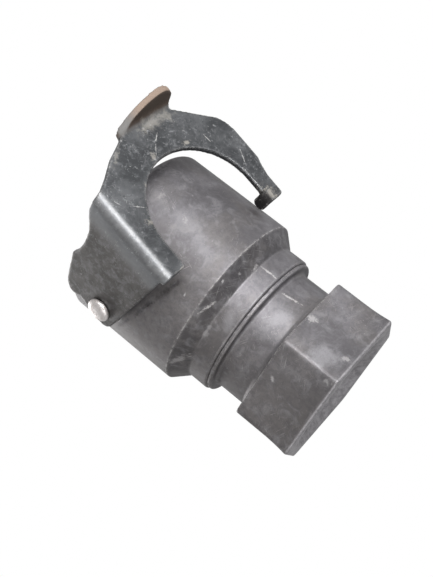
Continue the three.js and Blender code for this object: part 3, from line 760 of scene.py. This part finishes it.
def hex_thread_end():
    corner = HEX_ACROSS_FLATS / math.sqrt(3)
    rows = [
        hexagon_row(0.0, 0.15, corner - 0.2, 0.4),
        hexagon_row(0.05, 0.2, corner - 0.1, 0.14),
        hexagon_row(0.25, 0.3, corner + 0.1),
    ]
    flare_top = 7.5
    for step in range(9):
        height = 0.6 + (flare_top - 0.6) * step / 8
        flare = (1 - height / flare_top) ** 2
        rows.append(hexagon_row(height, HEX_LIP * flare, corner - 0.1 + 0.8 * flare))
    rows += [hexagon_row(height, 0, corner - 0.1) for height in (9, 12, 15.4)]
    rows += [
        hexagon_row(16.0, 0, corner - 0.1),
        hexagon_row(16.3, 0, corner - 0.12, 0.04),
        hexagon_row(16.5, 0, corner - 0.2, 0.14),
        hexagon_row(HEX_HEIGHT, 0, corner - 0.3, 0.4),
    ]
    flange_low = SEAM_Z - 1.1
    outside = [
        (NECK_RADIUS + 1.4, HEX_HEIGHT),
        (NECK_RADIUS + 0.5, HEX_HEIGHT + 0.3),
        (NECK_RADIUS, HEX_HEIGHT + 1.3),
        (NECK_RADIUS, flange_low - 0.5),
        (NECK_RADIUS + 0.5, flange_low),
        (COLLAR_RADIUS - 0.8, flange_low),
        (COLLAR_RADIUS - 0.5, flange_low + 0.3),
        (COLLAR_RADIUS - 0.5, SEAM_Z),
        (SPIGOT_RADIUS, SEAM_Z),
        (SPIGOT_RADIUS, ADAPTER_GROOVE_LOW_Z),
        (ADAPTER_GROOVE_RADIUS, ADAPTER_GROOVE_LOW_Z),
        (ADAPTER_GROOVE_RADIUS, ADAPTER_GROOVE_HIGH_Z),
        (SPIGOT_RADIUS, ADAPTER_GROOVE_HIGH_Z),
        (SPIGOT_RADIUS, SPIGOT_TOP_Z - 0.8),
        (SPIGOT_RADIUS - 0.8, SPIGOT_TOP_Z),
        (ADAPTER_BORE, SPIGOT_TOP_Z),
        (ADAPTER_BORE, RING_GROOVE_HIGH_Z),
        (ADAPTER_BORE + RING_GROOVE_DEPTH, RING_GROOVE_HIGH_Z),
        (ADAPTER_BORE + RING_GROOVE_DEPTH, RING_GROOVE_LOW_Z),
        (ADAPTER_BORE, RING_GROOVE_LOW_Z),
        (ADAPTER_BORE, STOP_TOP_Z),
        (STOP_RADIUS, STOP_TOP_Z),
        (STOP_RADIUS, PORT_DEPTH),
        (PORT_RADIUS, PORT_DEPTH),
    ]
    rows += eased(outside, 0.25, 3, closed=False)
    thread_rows = 90
    top = PORT_DEPTH - 0.5
    rows += [thread_row(top * (1 - step / thread_rows)) for step in range(thread_rows)]
    rows.append((PORT_RADIUS + FUNNEL_WIDTH + 0.15, 0.0))
    made = revolved("hex_thread_end", rows, HEX_COLUMNS)
    even_normals(made)
    return made


hex_paint = phosphated_paint("hex_phosphate", HEX_PALE, HEX_DUST, HEX_SCRATCHES)
finish_piece(hex_thread_end(), "coupler", "phosphated_steel", hex_paint, "hex_adapter")

# ---------- yoke latch ----------


def yoke_sheet():
    """The yoke's sheet, with every sheared edge worn round."""
    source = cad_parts["yoke_latch"]
    sheet = bpy.data.objects.new("yoke_sheet", source.data.copy())
    bpy.context.scene.collection.objects.link(sheet)
    remesh = sheet.modifiers.new("remesh", "REMESH")
    remesh.mode = "VOXEL"
    remesh.voxel_size = 0.3 * MM
    soften = sheet.modifiers.new("soften", "SMOOTH")
    soften.factor = 0.5
    soften.iterations = 8
    applied(sheet)
    sheet.data.shade_smooth()
    return sheet


finish_piece(yoke_sheet(), "yoke", "yoke_steel", yoke_paint(), "yoke_latch")

# ---------- pivot ----------


def rivet():
    """The pivot rivet, with its head hammered into a low dome."""
    low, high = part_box("pivot_rivet")
    tip = low.x / MM - AXIS_X
    head = 3.3
    rim = 0.5
    dome = 1.2
    seat = tip + rim + dome
    end = high.x / MM - AXIS_X
    outline = [(0, end), (RIVET_RADIUS, end), (RIVET_RADIUS, seat), (head, seat), (head, seat - rim)]
    outline = eased(outline, 0.15, 2, closed=False)
    for step in range(1, 9):
        angle = step / 8 * math.pi / 2
        outline.append((head * math.cos(angle), seat - rim - dome * math.sin(angle)))
    made = revolved("rivet", outline, 64, False, about_pivot)
    even_normals(made)
    return made


rivet_paint = bare_metal_paint("rivet_steel_worn", rgb(0.80, 0.76, 0.75), rgb(0.47, 0.43, 0.41), 0.42)
finish_piece(rivet(), "coupler", "rivet_steel", rivet_paint, "pivot_rivet")

# ---------- seals, valve and rings ----------


def o_ring(name, ring_radius, section, height):
    rows = []
    for step in range(24):
        angle = 2 * math.pi * step / 24
        rows.append((ring_radius + section * math.cos(angle), height + section * math.sin(angle)))
    return revolved(name, rows, 144)


black_rubber = rubber_paint("seal_rubber", rgb(0.014, 0.014, 0.015), rgb(0.05, 0.05, 0.05))
nylon = rubber_paint("ring_nylon", rgb(0.62, 0.58, 0.48), rgb(0.72, 0.69, 0.6), 0.4)

for piece_name, ring_radius, section, height, body, node_name in (
    ("socket_o_ring", 17.95, 1.3, 53.8, "coupler", "socket_seal"),
    ("adapter_o_ring", 16.1, 0.85, 30.8, "coupler", "adapter_seal"),
    ("valve_o_ring", 11.9, 0.9, 44.9, "valve", "valve_seal"),
):
    seal = o_ring(piece_name, ring_radius, section, height)
    finish_piece(seal, body, "black_rubber", black_rubber, node_name)

backup_section = [(18.3, 55.4), (19.3, 55.4), (19.3, 56.6), (18.3, 56.6)]
backup = revolved("nylon_backup_ring", eased(backup_section, 0.15))
finish_piece(backup, "coupler", "pale_nylon", nylon, "backup_ring")

brass_paint = bare_metal_paint("turned_brass", rgb(0.62, 0.44, 0.20), rgb(0.30, 0.21, 0.12), 0.32)
spring_paint = bare_metal_paint("drawn_spring_steel", rgb(0.55, 0.55, 0.56), rgb(0.28, 0.26, 0.25), 0.34)


def poppet():
    outline = [
        (0, 19.5),
        (2, 19.5),
        (2, 41.2),
        (3, 42.2),
        (12.6, 42.2),
        (12.6, 43.7),
        (10.7, 43.7),
        (10.7, 46.1),
        (11.3, 46.1),
        (9.5, 47.4),
        (9.3, 48.2),
        (9.3, 49.8),
        (8.4, 50.4),
        (5.2, 50.4),
        (4.6, 49.9),
        (0, 49.9),
    ]
    made = revolved("poppet", eased(outline, 0.25, 3, closed=False), 144, False)
    even_normals(made)
    return made


finish_piece(poppet(), "valve", "brass", brass_paint, "valve_poppet")


def spring():
    """A helix of round wire at an even pitch, its ends cut square."""
    wire = 0.55
    coil = 5.2
    low = 22.8
    high = 41.9
    turns = 6
    stations = 360
    sides = 14
    points = []
    for station in range(stations + 1):
        t = station / stations
        angle = t * turns * 2 * math.pi
        rise = low + wire + t * (high - low - 2 * wire)
        for side in range(sides):
            around = 2 * math.pi * side / sides
            points.append(in_coupler(coil + wire * math.cos(around), angle, rise + wire * math.sin(around)))
    faces = [tuple(range(sides)), tuple(stations * sides + side for side in range(sides))]
    for station in range(stations):
        for side in range(sides):
            here = station * sides + side
            beside = station * sides + (side + 1) % sides
            faces.append((here, beside, beside + sides, here + sides))
    return mesh_object("return_spring", points, faces, 60)


made_spring = spring()
finish_piece(made_spring, "coupler", "spring_steel", spring_paint, "valve_spring")
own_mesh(made_spring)

for node_name, paint in (
    ("valve_guide", brass_paint),
    ("retaining_ring", spring_paint),
    ("pivot_washer", spring_paint),
):
    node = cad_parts[node_name]
    weld = node.modifiers.new("weld", "WELD")
    weld.merge_threshold = 1e-6
    bevel = node.modifiers.new("soft_edges", "BEVEL")
    bevel.width = 0.12 * MM
    bevel.segments = 2
    bevel.limit_method = "ANGLE"
    bevel.angle_limit = math.radians(35)
    node.data.materials.clear()
    node.data.materials.append(paint)

# ---------- studio ----------

BACKDROP_RADIUS = 2500
FLOOR_RADIUS = 600
FLOOR_DROP = 0.2
LIT_HEIGHT = 42  # the height on the coupler's axis that every light faces


def emission_paint(name, colour, strength):
    material = bpy.data.materials.new(name)
    material.use_nodes = True
    tree = material.node_tree
    tree.nodes.remove(tree.nodes["Principled BSDF"])
    glow = tree.nodes.new("ShaderNodeEmission")
    glow.inputs["Color"].default_value = colour
    glow.inputs["Strength"].default_value = strength
    tree.links.new(glow.outputs[0], tree.nodes["Material Output"].inputs["Surface"])
    return material


def backdrop():
    """A pale dome behind everything, which only the camera sees."""
    mesh = bpy.data.meshes.new("backdrop")
    work = bmesh.new()
    bmesh.ops.create_uvsphere(work, u_segments=48, v_segments=24, radius=BACKDROP_RADIUS * MM)
    work.to_mesh(mesh)
    work.free()
    dome = bpy.data.objects.new("backdrop", mesh)
    bpy.context.scene.collection.objects.link(dome)
    mesh.materials.append(emission_paint("pale_backdrop", rgb(1, 1, 1), 1.0))
    dome.visible_diffuse = False
    dome.visible_glossy = False
    dome.visible_transmission = False
    dome.visible_shadow = False


def floor():
    """A pale disc under the coupler, solid from above and clear from below, fading out at its rim."""
    mesh = bpy.data.meshes.new("floor")
    work = bmesh.new()
    bmesh.ops.create_circle(work, cap_ends=True, segments=96, radius=FLOOR_RADIUS * MM)
    work.to_mesh(mesh)
    work.free()
    disc = bpy.data.objects.new("floor", mesh)
    bpy.context.scene.collection.objects.link(disc)
    disc.location = (AXIS_X * MM, AXIS_Y * MM, -FLOOR_DROP * MM)
    paint = Paint("pale_floor")
    tree = paint.tree
    paint.dress(rgb(0.9, 0.9, 0.9), 0.7, 0.0)
    clear = paint.node("ShaderNodeBsdfTransparent")
    geometry = paint.node("ShaderNodeNewGeometry")
    length = paint.node("ShaderNodeVectorMath", operation="LENGTH")
    paint.feed(length.inputs[0], paint.place)
    rim = paint.between(length.outputs["Value"], 90, 380)
    see_through = paint.most(geometry.outputs["Backfacing"], rim)
    mixed = paint.node("ShaderNodeMixShader")
    paint.feed(mixed.inputs[0], see_through)
    paint.feed(mixed.inputs[1], paint.shader.outputs[0])
    paint.feed(mixed.inputs[2], clear.outputs[0])
    tree.links.new(mixed.outputs[0], tree.nodes["Material Output"].inputs["Surface"])
    mesh.materials.append(paint.material)
    disc.visible_glossy = False
    disc.visible_diffuse = False


def area_light(name, azimuth, elevation, distance, size, watts):
    data = bpy.data.lights.new(name, "AREA")
    data.shape = "DISK"
    data.size = size
    data.energy = watts
    lamp = bpy.data.objects.new(name, data)
    bpy.context.scene.collection.objects.link(lamp)
    away = direction(math.radians(azimuth), math.radians(elevation))
    middle = Vector((AXIS_X, AXIS_Y, LIT_HEIGHT)) * MM
    lamp.location = middle + away * distance
    lamp.rotation_mode = "QUATERNION"
    lamp.rotation_quaternion = facing(away)


backdrop()
floor()
area_light("key_softbox", -10, -10, 0.55, 0.4, 6.6)
area_light("low_softbox", -80, -30, 0.7, 0.6, 1.8)
area_light("side_softbox", 62, -14, 0.7, 0.5, 1.2)
area_light("top_softbox", 30, 60, 0.7, 0.5, 1.5)
area_light("back_softbox", 190, 35, 0.8, 0.6, 3)

world = bpy.data.worlds.new("studio")
bpy.context.scene.world = world
world.use_nodes = True
world.node_tree.nodes["Background"].inputs["Color"].default_value = rgb(1, 1, 1)
world.node_tree.nodes["Background"].inputs["Strength"].default_value = 0.5
bpy.context.scene.view_settings.view_transform = "Standard"
